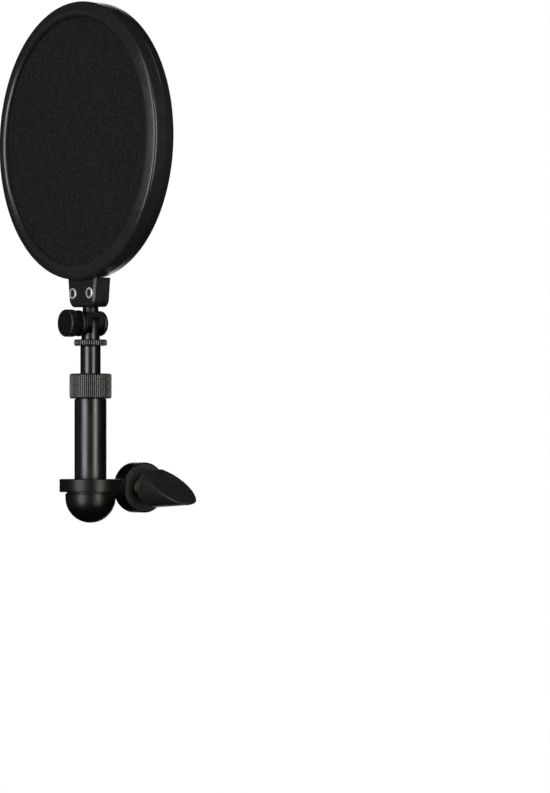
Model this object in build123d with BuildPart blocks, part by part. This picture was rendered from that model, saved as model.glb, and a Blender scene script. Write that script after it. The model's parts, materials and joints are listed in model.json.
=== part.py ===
from build123d import *
from math import cos, radians, sin
import os

# A pop filter: a round mesh screen on a swivelling head, on a telescopic post,
# on a short arm that clamps to a lug with one thumb knob. Millimetres, +Z up.
# The screen faces -Y. The clamp axis is the X axis, and the origin is on it,
# at the arm's toothed clamping face.

os.makedirs("parts", exist_ok=True)

# ---------------------------------------------------------------- dimensions
FIT = 0.05              # radial clearance of a shaft in its hole
GAP = 0.05              # clearance between flat faces that turn on each other
SNUG = 0.02             # clearance of pieces that are pressed or screwed tight
PAST = 1.0              # how far a cut runs past the faces it opens
WIDE = 60.0             # a cutting shape that only has to be larger than its piece

# Places
POST_X, POST_Y = -5.0, -30.0        # the post's axis, beside the clamp axis
HINGE_Z = 82.7                      # the tilt hinge, parallel to Y
SCREEN_Z = 174.6                    # the centre of the screen

# Arm: a ring round the post, a bar, and a hub round the clamp axis
ARM_TOP, ARM_BOTTOM = 4.4, -2.2
RING_R = 15.6
BAR_WIDTH = 10.0
HUB_R, HUB_LENGTH = 12.75, 10.0
EDGE = 0.5                          # small rounded edges of metal pieces
HUB_WALL = 1.0                      # behind the threaded insert
INSERT_R, INSERT_FACE = 5.95, -0.6
ROSETTE_R, ROSETTE_BORE_R, ROSETTE_THICK = 12.0, 6.3, 1.5
ROSETTE_TEETH, TOOTH_DEPTH, TOOTH_SPACE = 36, 0.4, 0.5
TOOTH_IN, TOOTH_OUT = 6.0, 12.4     # the tooth spaces run past the ring's edges

# Clamp: an M8 stud, a thumb knob cut off slantwise, and a loose washer
STUD_R, STUD_THREAD_R = 4.0, 3.6    # the plain shank in the gap, and the threads' pitch radius
STUD_START, STUD_END, STUD_TIP = -8.5, 16.5, 0.6
LUG_GAP = 5.0                       # what the clamp takes
WASHER_R, WASHER_THICK, WASHER_BORE_R = 8.6, 1.5, 4.25
KNOB_R, KNOB_TIP_R, KNOB_TIP = 10.0, 8.6, 38.4
KNOB_BASE_R, KNOB_BASE_LENGTH, KNOB_STEP = 8.7, 2.2, 0.8
KNOB_EDGE, KNOB_EDGE_MIDDLE = 1.6, 0.5
CUT_START, CUT_SLOPE = 7.8, 30.5    # the slanting thumb face
KNOB_TURN = 8.0                     # how far the knob stands turned at rest

# Fixed tube, with its base plug and dome nut
TUBE_R, TUBE_BORE_R = 8.1, 6.6
SEAT_Z = 1.0                        # the tube stands in the ring down to here
THREAD_R, SHOULDER_Z, TUBE_TOP = 7.4, 44.8, 51.5
BASE_STUD_R, BASE_STUD_END = 4.0, -12.0
PLUG_LENGTH = 4.2
DOME_R, DOME_STRAIGHT, DOME_HOLE_END = 12.65, 2.2, -12.4
DOME_WASHER_R, DOME_WASHER_THICK = 11.9, 0.6

# Locking collar and its collet
COLLAR_R, COLLAR_BOTTOM, COLLAR_TOP = 10.6, 44.9, 57.5
COLLAR_RIBS, GROOVE_R = 63, 0.3
COLLAR_BORE_R = 5.6
TOP_CHAMFER, BOTTOM_CHAMFER = 0.9, 0.6
COLLET_BOTTOM, COLLET_TOP = 51.6, 56.2
COLLET_R, COLLET_TIP_R, COLLET_STRAIGHT = 7.3, 5.85, 0.6
COLLET_ROOM = 0.2                   # between the collet's cone and the collar's
COLLET_SLIT, COLLET_SLIT_DEPTH = 0.8, 4.0

# Sliding tube
SLIDER_R, SLIDER_BORE_R = 5.15, 3.9
SLIDER_BOTTOM, SLIDER_TOP = 19.0, 71.4
BUSH_LENGTH = 8.0
INSERT_LENGTH = 12.0

# Swivel stud and its lock ring
SWIVEL_R, SWIVEL_SHANK_R, SHANK_BOTTOM = 4.65, 3.0, 60.4
LOCK_RING_R, LOCK_RING_THICK = 8.3, 3.2
LOCK_RING_RIBS, LOCK_GROOVE_R, LOCK_CHAMFER = 42, 0.33, 0.65
STUB_BOTTOM = 74.75
TONGUE_HALF, TONGUE_BOTTOM = 1.65, 77.8

# Tilt hinge: fork, screw, washers, cap and knob, along Y from the hinge
CHEEK_IN, CHEEK_OUT, CHEEK_R = 2.15, 4.95, 4.6
SLOT_R, SLOT_ROOF = 5.1, 3.1        # room for the tongue when the head tilts
FORK_TOP = 88.5
NECK_R, NECK_TOP = 4.0, 90.9
STEM_R, STEM_TOP = 2.5, 101.0
FRICTION_R = 4.4
SCREW_R, SCREW_BACK, SCREW_FRONT = 2.5, 6.1, -14.1
SPRING_R, SPRING_FRONT = 5.3, -6.6
DISC_R, DISC_FRONT = 6.6, -8.3
CAP_R, CAP_BACK, CAP_WALL, CAP_CHAMFER = 6.4, 6.9, 0.7, 0.9
KNOB_NECK_R, KNOB_NECK_FRONT = 6.0, -10.2
TILT_KNOB_R, TILT_KNOB_FRONT, TILT_KNOB_WALL = 6.9, -15.7, 1.5
TILT_KNOB_CHAMFER, TILT_KNOB_STEP = 1.0, 0.6

# Clamp block under the screen
BLOCK_FRONT, BLOCK_BACK = -5.8, 3.6
BLOCK_TOP_WIDTH, BLOCK_BOTTOM_WIDTH = 25.2, 21.5
BLOCK_TOP = 107.6                   # its ears reach up to here on the rim's curve
BLOCK_CORNER = 4.2
BLOCK_EDGE, BLOCK_EDGE_TOP = 0.9, 103.9
RIM_ROOM = 0.1
SCREW_SPACING, BLOCK_SCREW_Z = 14.6, 97.9
BLOCK_SCREW_R, BLOCK_HEAD_R, HEAD_PROUD, HEAD_RECESS = 1.5, 2.8, 0.4, 0.8
SOCKET_R, SOCKET_DEPTH = 1.5, 0.9
NUT_R, NUT_THICK, NUT_INSET = 3.15, 2.4, 0.4

# Screen: two rims that meet at a seam, each with a hoop and a mesh
RIM_R, LIP_R, SHELL_R = 70.0, 62.3, 67.4
SEAM = -2.7
MESH_R, MESH_THICK = 66.8, 0.3
FRONT_SEAT, BACK_SEAT = -8.7, 1.5
HOOP_R = 64.6
TANG_THICK, TANG_HALF_WIDTH, TANG_BOTTOM, TANG_TOP = 1.0, 3.0, 94.0, 106.0
TANG_ROOM = 0.1                     # round a tang in its pocket

# The rims' sections, as radius and depth from the screen's centre. Each pair of
# points with a bulge between them is joined by an arc that stands out that far.
SEAM_CHAMFER = 0.3
FRONT_WALL_END, FRONT_SHOULDER = (RIM_R, -8.15), (69.0, -9.85)
FRONT_CREST, FRONT_LIP = (64.8, -11.1), (LIP_R, -9.7)
FRONT_BULGES = 0.24, 0.30, 0.36
BACK_SEAM_R = 69.95
BACK_WALL_END, BACK_SHOULDER = (69.6, 1.2), (68.1, 2.85)
BACK_CREST, BACK_LIP = (63.9, 2.9), (LIP_R, 2.2)
BACK_BULGES = 0.37, 0.47

# ------------------------------------------------------- planes and axes
POST_SECTION = Plane(origin=(POST_X, POST_Y, 0), x_dir=(1, 0, 0), z_dir=(0, -1, 0))
POST_AXIS = Axis((POST_X, POST_Y, 0), (0, 0, 1))
HINGE_SECTION = Plane(origin=(POST_X, POST_Y, HINGE_Z))
HINGE_AXIS = Axis((POST_X, POST_Y, HINGE_Z), (0, 1, 0))
SCREEN_SECTION = Plane(origin=(POST_X, POST_Y, SCREEN_Z))
SCREEN_AXIS = Axis((POST_X, POST_Y, SCREEN_Z), (0, 1, 0))


def post_plane(z):
    """A level plane centred on the post, at height z."""
    return Plane(origin=(POST_X, POST_Y, z))


def front_plane(y, z=0.0):
    """An upright plane facing -Y, centred on the post at depth y, with its origin at height z."""
    return Plane(origin=(POST_X, POST_Y + y, z), x_dir=(1, 0, 0), z_dir=(0, -1, 0))


def turned(section, axis, *profile):
    """A piece spun about an axis from a closed profile of points in the section plane."""
    with BuildPart() as piece:
        with BuildSketch(section):
            with BuildLine():
                Polyline(*profile, close=True)
            make_face()
        revolve(axis=axis)
    return piece


def ring(section, axis, inner, outer, start, end):
    """A plain ring; in the tilt hinge and the screen, start and end run along Y."""
    return turned(section, axis, (inner, start), (outer, start), (outer, end), (inner, end))


# ------------------------------------------------------------------ the arm
with BuildPart() as arm:
    with BuildSketch(Plane.XY.offset(ARM_BOTTOM)):
        with Locations((POST_X, POST_Y)):
            Circle(RING_R)
        with Locations((POST_X, POST_Y / 2)):
            Rectangle(BAR_WIDTH, -POST_Y)
    extrude(amount=ARM_TOP - ARM_BOTTOM)
    with BuildSketch(Plane.YZ.offset(-HUB_LENGTH)):
        Circle(HUB_R)
    extrude(amount=HUB_LENGTH)
    outer_edges = arm.edges().filter_by(GeomType.CIRCLE).filter_by(lambda e: e.radius > DOME_R)
    fillet(outer_edges, radius=EDGE)
    # seat of the tube, and the hole for its base stud
    with BuildSketch(post_plane(SEAT_Z)):
        Circle(TUBE_R + FIT)
    extrude(amount=ARM_TOP - SEAT_Z + PAST, mode=Mode.SUBTRACT)
    with BuildSketch(post_plane(ARM_BOTTOM - PAST)):
        Circle(BASE_STUD_R + 2 * FIT)
    extrude(amount=SEAT_Z - ARM_BOTTOM + 2 * PAST, mode=Mode.SUBTRACT)
    # pocket for the threaded insert, and the recess for the toothed ring
    with BuildSketch(Plane.YZ.offset(-HUB_LENGTH + HUB_WALL)):
        Circle(INSERT_R + FIT)
    extrude(amount=HUB_LENGTH, mode=Mode.SUBTRACT)
    with BuildSketch(Plane.YZ.offset(-ROSETTE_THICK)):
        Circle(ROSETTE_R + FIT)
    extrude(amount=ROSETTE_THICK + PAST, mode=Mode.SUBTRACT)
arm.part.label = "arm"
export_step(arm.part, "parts/arm.step")

# ------------------------------------------------- pieces fixed in the arm
with BuildPart() as hub_rosette:
    with BuildSketch(Plane.YZ.offset(-ROSETTE_THICK)):
        Circle(ROSETTE_R)
        Circle(ROSETTE_BORE_R, mode=Mode.SUBTRACT)
    extrude(amount=ROSETTE_THICK)
    with BuildSketch(Plane.YZ.offset(-TOOTH_DEPTH)):
        with PolarLocations((TOOTH_IN + TOOTH_OUT) / 2, ROSETTE_TEETH):
            Rectangle(TOOTH_OUT - TOOTH_IN, TOOTH_SPACE)
    extrude(amount=TOOTH_DEPTH + PAST, mode=Mode.SUBTRACT)
hub_rosette.part.label = "hub_rosette"
export_step(hub_rosette.part, "parts/hub_rosette.step")

hub_insert = turned(
    Plane.XY, Axis.X,
    (-HUB_LENGTH + HUB_WALL, STUD_THREAD_R + FIT), (-HUB_LENGTH + HUB_WALL, INSERT_R),
    (INSERT_FACE, INSERT_R), (INSERT_FACE, STUD_THREAD_R + FIT),
)
hub_insert.part.label = "hub_insert"
export_step(hub_insert.part, "parts/hub_insert.step")

outer_tube = turned(
    POST_SECTION, POST_AXIS,
    (TUBE_BORE_R, SEAT_Z), (TUBE_R, SEAT_Z), (TUBE_R, SHOULDER_Z),
    (THREAD_R, SHOULDER_Z), (THREAD_R, TUBE_TOP), (TUBE_BORE_R, TUBE_TOP),
)
outer_tube.part.label = "outer_tube"
export_step(outer_tube.part, "parts/outer_tube.step")

tube_plug = turned(
    POST_SECTION, POST_AXIS,
    (0, BASE_STUD_END), (BASE_STUD_R, BASE_STUD_END), (BASE_STUD_R, SEAT_Z),
    (TUBE_BORE_R - FIT, SEAT_Z), (TUBE_BORE_R - FIT, SEAT_Z + PLUG_LENGTH), (0, SEAT_Z + PLUG_LENGTH),
)
tube_plug.part.label = "tube_plug"
export_step(tube_plug.part, "parts/tube_plug.step")

DOME_TOP = ARM_BOTTOM - DOME_WASHER_THICK
dome_washer = ring(POST_SECTION, POST_AXIS, BASE_STUD_R + 2 * FIT, DOME_WASHER_R, DOME_TOP, ARM_BOTTOM)
dome_washer.part.label = "dome_washer"
export_step(dome_washer.part, "parts/dome_washer.step")

with BuildPart() as dome_nut:
    with BuildSketch(POST_SECTION):
        with BuildLine():
            Line((0, DOME_TOP), (DOME_R, DOME_TOP))
            Line((DOME_R, DOME_TOP), (DOME_R, DOME_TOP - DOME_STRAIGHT))
            CenterArc((0, DOME_TOP - DOME_STRAIGHT), DOME_R, 0, -90)
            Line((0, DOME_TOP - DOME_STRAIGHT - DOME_R), (0, DOME_TOP))
        make_face()
    revolve(axis=POST_AXIS)
    with BuildSketch(post_plane(DOME_TOP)):
        Circle(BASE_STUD_R + FIT)
    extrude(amount=DOME_HOLE_END - DOME_TOP, mode=Mode.SUBTRACT)
dome_nut.part.label = "dome_nut"
export_step(dome_nut.part, "parts/dome_nut.step")

with BuildPart() as collet:
    with BuildSketch(POST_SECTION):
        with BuildLine():
            Polyline(
                (SLIDER_R + FIT, COLLET_BOTTOM), (COLLET_R, COLLET_BOTTOM),
                (COLLET_R, COLLET_BOTTOM + COLLET_STRAIGHT), (COLLET_TIP_R, COLLET_TOP),
                (SLIDER_R + FIT, COLLET_TOP), close=True,
            )
        make_face()
    revolve(axis=POST_AXIS)
    with BuildSketch(post_plane(COLLET_BOTTOM - PAST)):
        with Locations(((SLIDER_R + COLLET_R) / 2, 0)):
            Rectangle(COLLET_SLIT_DEPTH, COLLET_SLIT)
    extrude(amount=COLLET_TOP - COLLET_BOTTOM + 2 * PAST, mode=Mode.SUBTRACT)
collet.part.label = "collet"
export_step(collet.part, "parts/collet.step")

# ------------------------------------------------------- locking collar
with BuildPart() as collar:
    with BuildSketch(post_plane(COLLAR_BOTTOM)):
        Circle(COLLAR_R)
        with PolarLocations(COLLAR_R, COLLAR_RIBS):
            Circle(GROOVE_R, mode=Mode.SUBTRACT)
    extrude(amount=COLLAR_TOP - COLLAR_BOTTOM)
    with BuildSketch(POST_SECTION):
        with BuildLine():
            Polyline(
                (COLLAR_BORE_R, COLLAR_BOTTOM), (COLLAR_R - BOTTOM_CHAMFER, COLLAR_BOTTOM),
                (COLLAR_R, COLLAR_BOTTOM + BOTTOM_CHAMFER), (COLLAR_R, COLLAR_TOP - TOP_CHAMFER),
                (COLLAR_R - TOP_CHAMFER, COLLAR_TOP), (COLLAR_BORE_R, COLLAR_TOP), close=True,
            )
        make_face()
    revolve(axis=POST_AXIS, mode=Mode.INTERSECT)
    with BuildSketch(POST_SECTION):
        with BuildLine():
            Polyline(
                (0, COLLAR_BOTTOM - PAST), (THREAD_R + FIT, COLLAR_BOTTOM - PAST),
                (THREAD_R + FIT, COLLET_BOTTOM), (COLLET_R + COLLET_ROOM, COLLET_BOTTOM),
                (COLLET_R + COLLET_ROOM, COLLET_BOTTOM + COLLET_STRAIGHT),
                (COLLET_TIP_R + COLLET_ROOM, COLLET_TOP + GAP), (COLLAR_BORE_R, COLLET_TOP + GAP),
                (COLLAR_BORE_R, COLLAR_TOP + PAST), (0, COLLAR_TOP + PAST), close=True,
            )
        make_face()
    revolve(axis=POST_AXIS, mode=Mode.SUBTRACT)
collar.part.label = "collar"
export_step(collar.part, "parts/collar.step")

# ----------------------------------------------------------- sliding tube
inner_tube = ring(POST_SECTION, POST_AXIS, SLIDER_BORE_R, SLIDER_R, SLIDER_BOTTOM, SLIDER_TOP)
inner_tube.part.label = "inner_tube"
export_step(inner_tube.part, "parts/inner_tube.step")

tube_bush = ring(
    POST_SECTION, POST_AXIS, SLIDER_R + SNUG, TUBE_BORE_R - 2 * FIT,
    SLIDER_BOTTOM, SLIDER_BOTTOM + BUSH_LENGTH,
)
tube_bush.part.label = "tube_bush"
export_step(tube_bush.part, "parts/tube_bush.step")

top_insert = ring(
    POST_SECTION, POST_AXIS, SWIVEL_SHANK_R + FIT, SLIDER_BORE_R - SNUG,
    SLIDER_TOP - INSERT_LENGTH, SLIDER_TOP,
)
top_insert.part.label = "top_insert"
export_step(top_insert.part, "parts/top_insert.step")

# --------------------------------------------- swivel stud and lock ring
LOCK_BOTTOM = SLIDER_TOP + GAP
LOCK_TOP = LOCK_BOTTOM + LOCK_RING_THICK
with BuildPart() as lock_ring:
    with BuildSketch(post_plane(LOCK_BOTTOM)):
        Circle(LOCK_RING_R)
        with PolarLocations(LOCK_RING_R, LOCK_RING_RIBS):
            Circle(LOCK_GROOVE_R, mode=Mode.SUBTRACT)
        Circle(SWIVEL_SHANK_R + 2 * FIT, mode=Mode.SUBTRACT)
    extrude(amount=LOCK_RING_THICK)
    with BuildSketch(POST_SECTION):
        with BuildLine():
            Polyline(
                (0, LOCK_BOTTOM), (LOCK_RING_R - LOCK_CHAMFER, LOCK_BOTTOM),
                (LOCK_RING_R, LOCK_BOTTOM + LOCK_CHAMFER), (LOCK_RING_R, LOCK_TOP - LOCK_CHAMFER),
                (LOCK_RING_R - LOCK_CHAMFER, LOCK_TOP), (0, LOCK_TOP), close=True,
            )
        make_face()
    revolve(axis=POST_AXIS, mode=Mode.INTERSECT)
lock_ring.part.label = "lock_ring"
export_step(lock_ring.part, "parts/lock_ring.step")

with BuildPart() as swivel_stud:
    with BuildSketch(post_plane(SHANK_BOTTOM)):
        Circle(SWIVEL_SHANK_R)
    extrude(amount=STUB_BOTTOM - SHANK_BOTTOM)
    with BuildSketch(post_plane(STUB_BOTTOM)):
        Circle(SWIVEL_R)
    extrude(amount=HINGE_Z + CHEEK_R - STUB_BOTTOM)
    # two flats leave the tongue, and its top is round about the hinge
    with BuildSketch(post_plane(TONGUE_BOTTOM)):
        with GridLocations(0, 2 * (TONGUE_HALF + SWIVEL_R), 1, 2):
            Rectangle(4 * SWIVEL_R, 2 * SWIVEL_R)
    extrude(amount=WIDE, mode=Mode.SUBTRACT)
    with BuildSketch(front_plane(0)):
        with Locations((0, HINGE_Z)):
            Circle(CHEEK_R)
        with Locations((0, HINGE_Z - WIDE / 2)):
            Rectangle(WIDE, WIDE)
    extrude(amount=WIDE, both=True, mode=Mode.INTERSECT)
    with BuildSketch(front_plane(0)):
        with Locations((0, HINGE_Z)):
            Circle(SCREW_R + 2 * FIT)
    extrude(amount=WIDE, both=True, mode=Mode.SUBTRACT)
swivel_stud.part.label = "swivel_stud"
export_step(swivel_stud.part, "parts/swivel_stud.step")

# ------------------------------------------------------------- tilt hinge
with BuildPart() as fork:
    with BuildSketch(front_plane(0)):
        with Locations((0, HINGE_Z)):
            Circle(CHEEK_R)
        with Locations((0, (HINGE_Z + FORK_TOP) / 2)):
            Rectangle(2 * CHEEK_R, FORK_TOP - HINGE_Z)
    extrude(amount=CHEEK_OUT, both=True)
    with BuildSketch(front_plane(0)):
        with Locations((0, HINGE_Z)):
            Circle(SLOT_R)
        with Locations((0, HINGE_Z + SLOT_ROOF - WIDE / 2)):
            Rectangle(WIDE, WIDE)
    extrude(amount=CHEEK_IN, both=True, mode=Mode.SUBTRACT)
    with BuildSketch(post_plane(FORK_TOP)):
        Circle(NECK_R)
    extrude(amount=NECK_TOP - FORK_TOP)
    with BuildSketch(post_plane(NECK_TOP)):
        Circle(STEM_R)
    extrude(amount=STEM_TOP - NECK_TOP)
    with BuildSketch(front_plane(0)):
        with Locations((0, HINGE_Z)):
            Circle(SCREW_R + FIT)
    extrude(amount=WIDE, both=True, mode=Mode.SUBTRACT)
fork.part.label = "fork"
export_step(fork.part, "parts/fork.step")

with BuildPart() as friction_washers:
    with BuildSketch(front_plane(TONGUE_HALF + GAP), front_plane(-CHEEK_IN + GAP)):
        with Locations((0, HINGE_Z)):
            Circle(FRICTION_R)
            Circle(SCREW_R + FIT, mode=Mode.SUBTRACT)
    extrude(amount=-(CHEEK_IN - TONGUE_HALF - 2 * GAP))
friction_washers.part.label = "friction_washers"
export_step(friction_washers.part, "parts/friction_washers.step")

tilt_screw = turned(
    HINGE_SECTION, HINGE_AXIS,
    (0, SCREW_BACK), (SCREW_R, SCREW_BACK), (SCREW_R, SCREW_FRONT), (0, SCREW_FRONT),
)
tilt_screw.part.label = "tilt_screw"
export_step(tilt_screw.part, "parts/tilt_screw.step")

spring_washer = ring(HINGE_SECTION, HINGE_AXIS, SCREW_R + FIT, SPRING_R, -CHEEK_OUT, SPRING_FRONT)
spring_washer.part.label = "spring_washer"
export_step(spring_washer.part, "parts/spring_washer.step")

pressure_disc = ring(HINGE_SECTION, HINGE_AXIS, SCREW_R + FIT, DISC_R, SPRING_FRONT, DISC_FRONT)
pressure_disc.part.label = "pressure_disc"
export_step(pressure_disc.part, "parts/pressure_disc.step")

cap_nut = turned(
    HINGE_SECTION, HINGE_AXIS,
    (SCREW_R + FIT, CHEEK_OUT), (CAP_R, CHEEK_OUT), (CAP_R, CAP_BACK - CAP_CHAMFER),
    (CAP_R - CAP_CHAMFER, CAP_BACK), (0, CAP_BACK), (0, CAP_BACK - CAP_WALL),
    (SCREW_R + FIT, CAP_BACK - CAP_WALL),
)
cap_nut.part.label = "cap_nut"
export_step(cap_nut.part, "parts/cap_nut.step")

tilt_knob = turned(
    HINGE_SECTION, HINGE_AXIS,
    (SCREW_R + FIT, DISC_FRONT - GAP), (KNOB_NECK_R, DISC_FRONT - GAP), (KNOB_NECK_R, KNOB_NECK_FRONT),
    (TILT_KNOB_R, KNOB_NECK_FRONT - TILT_KNOB_STEP), (TILT_KNOB_R, TILT_KNOB_FRONT + TILT_KNOB_CHAMFER),
    (TILT_KNOB_R - TILT_KNOB_CHAMFER, TILT_KNOB_FRONT), (0, TILT_KNOB_FRONT),
    (0, TILT_KNOB_FRONT + TILT_KNOB_WALL), (SCREW_R + FIT, TILT_KNOB_FRONT + TILT_KNOB_WALL),
)
tilt_knob.part.label = "tilt_knob"
export_step(tilt_knob.part, "parts/tilt_knob.step")

# ------------------------------------------------------------ clamp block
screw_places = [(-SCREW_SPACING / 2, BLOCK_SCREW_Z), (SCREW_SPACING / 2, BLOCK_SCREW_Z)]
tang_middle = (TANG_BOTTOM + TANG_TOP) / 2
tang_places = [(x, tang_middle) for x, _ in screw_places]


def block_half(near, far):
    """One half of the clamp block between two depths, before its pockets are cut."""
    with BuildPart() as half:
        with BuildSketch(front_plane(far)):
            with BuildLine():
                Polyline(
                    (-BLOCK_BOTTOM_WIDTH / 2, NECK_TOP), (BLOCK_BOTTOM_WIDTH / 2, NECK_TOP),
                    (BLOCK_TOP_WIDTH / 2, BLOCK_TOP), (-BLOCK_TOP_WIDTH / 2, BLOCK_TOP), close=True,
                )
            make_face()
        extrude(amount=far - near)
        bottom_corners = half.edges().filter_by(Axis.Y).group_by(Axis.Z)[0]
        fillet(bottom_corners, radius=BLOCK_CORNER)
        with BuildSketch(front_plane(far + PAST)):
            with Locations((0, SCREEN_Z)):
                Circle(RIM_R + RIM_ROOM)
            with Locations(*screw_places):
                Circle(BLOCK_SCREW_R + FIT)
        extrude(amount=far - near + 2 * PAST, mode=Mode.SUBTRACT)
    return half


with BuildPart() as block_front:
    add(block_half(BLOCK_FRONT, SEAM).part)
    front_outline = block_front.faces().sort_by(Axis.Y)[0].outer_wire().edges()
    chamfer(front_outline.filter_by(lambda e: e.center().Z < BLOCK_EDGE_TOP), length=BLOCK_EDGE)
    with BuildSketch(front_plane(BLOCK_FRONT + HEAD_RECESS)):
        with Locations(*screw_places):
            Circle(BLOCK_HEAD_R + 2 * FIT)
    extrude(amount=HEAD_RECESS + PAST, mode=Mode.SUBTRACT)
    with BuildSketch(front_plane(SEAM)):
        with Locations(*tang_places):
            Rectangle(2 * (TANG_HALF_WIDTH + TANG_ROOM), TANG_TOP - TANG_BOTTOM + 2 * TANG_ROOM)
    extrude(amount=TANG_THICK + FIT, mode=Mode.SUBTRACT)
block_front.part.label = "block_front"
export_step(block_front.part, "parts/block_front.step")

with BuildPart() as block_back:
    add(block_half(SEAM, BLOCK_BACK).part)
    with BuildSketch(post_plane(NECK_TOP - PAST)):
        Circle(STEM_R + FIT)
    extrude(amount=STEM_TOP + FIT - NECK_TOP + PAST, mode=Mode.SUBTRACT)
    with BuildSketch(front_plane(SEAM + TANG_THICK + FIT)):
        with Locations(*tang_places):
            Rectangle(2 * (TANG_HALF_WIDTH + TANG_ROOM), TANG_TOP - TANG_BOTTOM + 2 * TANG_ROOM)
    extrude(amount=TANG_THICK + FIT, mode=Mode.SUBTRACT)
    with BuildSketch(front_plane(BLOCK_BACK)):
        with Locations(*screw_places):
            RegularPolygon(NUT_R + 2 * FIT, 6)
    extrude(amount=NUT_INSET + NUT_THICK, mode=Mode.SUBTRACT)
block_back.part.label = "block_back"
export_step(block_back.part, "parts/block_back.step")

with BuildPart() as block_screws:
    with BuildSketch(front_plane(BLOCK_FRONT + HEAD_RECESS)):
        with Locations(*screw_places):
            Circle(BLOCK_HEAD_R)
    extrude(amount=HEAD_RECESS + HEAD_PROUD)
    with BuildSketch(front_plane(BLOCK_BACK - NUT_INSET)):
        with Locations(*screw_places):
            Circle(BLOCK_SCREW_R)
    extrude(amount=BLOCK_BACK - NUT_INSET - BLOCK_FRONT - HEAD_RECESS)
    with BuildSketch(front_plane(BLOCK_FRONT - HEAD_PROUD + SOCKET_DEPTH)):
        with Locations(*screw_places):
            RegularPolygon(SOCKET_R, 6)
    extrude(amount=SOCKET_DEPTH, mode=Mode.SUBTRACT)
block_screws.part.label = "block_screws"
export_step(block_screws.part, "parts/block_screws.step")

with BuildPart() as block_nuts:
    with BuildSketch(front_plane(BLOCK_BACK - NUT_INSET)):
        with Locations(*screw_places):
            RegularPolygon(NUT_R, 6)
            Circle(BLOCK_SCREW_R + SNUG, mode=Mode.SUBTRACT)
    extrude(amount=NUT_THICK)
block_nuts.part.label = "block_nuts"
export_step(block_nuts.part, "parts/block_nuts.step")

# ------------------------------------------------------------- the screen
def tangs(depth):
    """Two drilled tangs below a rim, which the clamp block holds. They start at this depth."""
    with BuildPart() as pair:
        with BuildSketch(front_plane(depth)):
            with Locations(*tang_places):
                Rectangle(2 * TANG_HALF_WIDTH, TANG_TOP - TANG_BOTTOM)
            with Locations(*screw_places):
                Circle(BLOCK_SCREW_R + FIT, mode=Mode.SUBTRACT)
        extrude(amount=TANG_THICK)
    return pair


with BuildPart() as front_rim:
    with BuildSketch(SCREEN_SECTION):
        with BuildLine():
            Line((SHELL_R, SEAM), (RIM_R - SEAM_CHAMFER, SEAM))
            Line((RIM_R - SEAM_CHAMFER, SEAM), (RIM_R, SEAM - SEAM_CHAMFER))
            Line((RIM_R, SEAM - SEAM_CHAMFER), FRONT_WALL_END)
            SagittaArc(FRONT_WALL_END, FRONT_SHOULDER, FRONT_BULGES[0])
            SagittaArc(FRONT_SHOULDER, FRONT_CREST, FRONT_BULGES[1])
            SagittaArc(FRONT_CREST, FRONT_LIP, FRONT_BULGES[2])
            Polyline(FRONT_LIP, (LIP_R, FRONT_SEAT), (SHELL_R, FRONT_SEAT), (SHELL_R, SEAM))
        make_face()
    revolve(axis=SCREEN_AXIS)
    add(tangs(SEAM).part)
front_rim.part.label = "front_rim"
export_step(front_rim.part, "parts/front_rim.step")

with BuildPart() as back_rim:
    with BuildSketch(SCREEN_SECTION):
        with BuildLine():
            Line((SHELL_R, SEAM), (RIM_R - SEAM_CHAMFER, SEAM))
            Line((RIM_R - SEAM_CHAMFER, SEAM), (BACK_SEAM_R, SEAM + SEAM_CHAMFER))
            Line((BACK_SEAM_R, SEAM + SEAM_CHAMFER), BACK_WALL_END)
            SagittaArc(BACK_WALL_END, BACK_SHOULDER, -BACK_BULGES[0])
            SagittaArc(BACK_SHOULDER, BACK_CREST, -BACK_BULGES[1])
            Polyline(BACK_CREST, BACK_LIP, (LIP_R, BACK_SEAT), (SHELL_R, BACK_SEAT), (SHELL_R, SEAM))
        make_face()
    revolve(axis=SCREEN_AXIS)
    add(tangs(SEAM + TANG_THICK).part)
back_rim.part.label = "back_rim"
export_step(back_rim.part, "parts/back_rim.step")

front_mesh = ring(SCREEN_SECTION, SCREEN_AXIS, 0, MESH_R, FRONT_SEAT + SNUG, FRONT_SEAT + MESH_THICK)
front_mesh.part.label = "front_mesh"
export_step(front_mesh.part, "parts/front_mesh.step")

back_mesh = ring(SCREEN_SECTION, SCREEN_AXIS, 0, MESH_R, BACK_SEAT - MESH_THICK, BACK_SEAT - SNUG)
back_mesh.part.label = "back_mesh"
export_step(back_mesh.part, "parts/back_mesh.step")

front_hoop = ring(
    SCREEN_SECTION, SCREEN_AXIS, HOOP_R, SHELL_R - FIT, FRONT_SEAT + MESH_THICK + SNUG, SEAM - GAP
)
front_hoop.part.label = "front_hoop"
export_step(front_hoop.part, "parts/front_hoop.step")

back_hoop = ring(
    SCREEN_SECTION, SCREEN_AXIS, HOOP_R, SHELL_R - FIT, SEAM + GAP, BACK_SEAT - MESH_THICK - SNUG
)
back_hoop.part.label = "back_hoop"
export_step(back_hoop.part, "parts/back_hoop.step")

# ------------------------------------------------------------- clamp parts
clamp_washer = turned(
    Plane.XY, Axis.X,
    (LUG_GAP, WASHER_BORE_R), (LUG_GAP, WASHER_R), (LUG_GAP + WASHER_THICK, WASHER_R),
    (LUG_GAP + WASHER_THICK, WASHER_BORE_R),
)
clamp_washer.part.label = "clamp_washer"
export_step(clamp_washer.part, "parts/clamp_washer.step")

clamp_stud = turned(
    Plane.XY, Axis.X,
    (STUD_START, 0), (STUD_START, STUD_THREAD_R - STUD_TIP), (STUD_START + STUD_TIP, STUD_THREAD_R),
    (0, STUD_THREAD_R), (0, STUD_R), (LUG_GAP, STUD_R), (LUG_GAP, STUD_THREAD_R),
    (STUD_END, STUD_THREAD_R), (STUD_END, 0),
)
clamp_stud.part.label = "clamp_stud"
export_step(clamp_stud.part, "parts/clamp_stud.step")

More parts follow.
